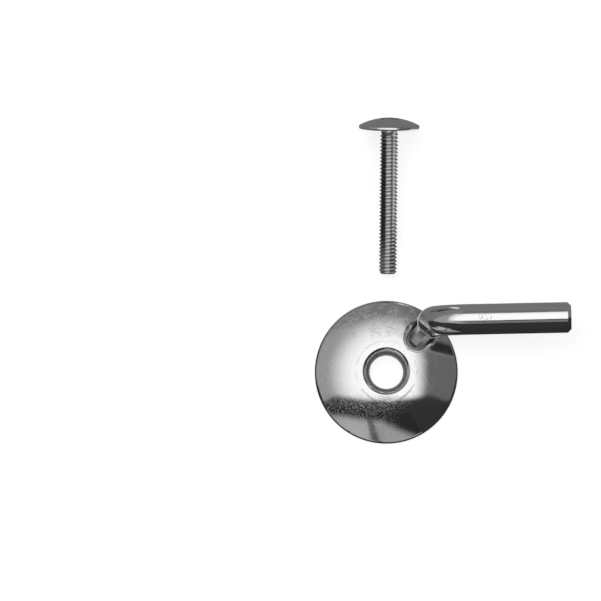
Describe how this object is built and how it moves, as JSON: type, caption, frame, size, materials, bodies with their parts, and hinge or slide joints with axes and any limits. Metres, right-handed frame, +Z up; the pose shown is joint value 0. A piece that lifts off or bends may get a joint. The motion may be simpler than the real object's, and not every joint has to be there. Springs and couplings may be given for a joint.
{
  "type": "toilet seat hinge",
  "caption": "Toilet seat hinge: stamped dome cover over an anchor plate, with a bent round pin and a truss-head fixing screw lying beside it.",
  "frame": {"origin": "centre of the fixing hole on the seating plane", "axes": "+X along the hinge pin towards its free end, +Y towards the back of the bowl, +Z up from the seating plane"},
  "size_m": [0.0897, 0.1137, 0.0214],
  "materials": {
    "polished_cover": "polished, finely scratched",
    "polished_pin": "polished, finely scratched",
    "plate_steel": "plain rolled",
    "screw_steel": "plated, polished head"
  },
  "bodies": {
    "root": {"cover": "polished_cover", "hinge_pin": "polished_pin", "anchor_plate": "plate_steel", "fixing_screw": "screw_steel"}
  },
  "joints": []
}
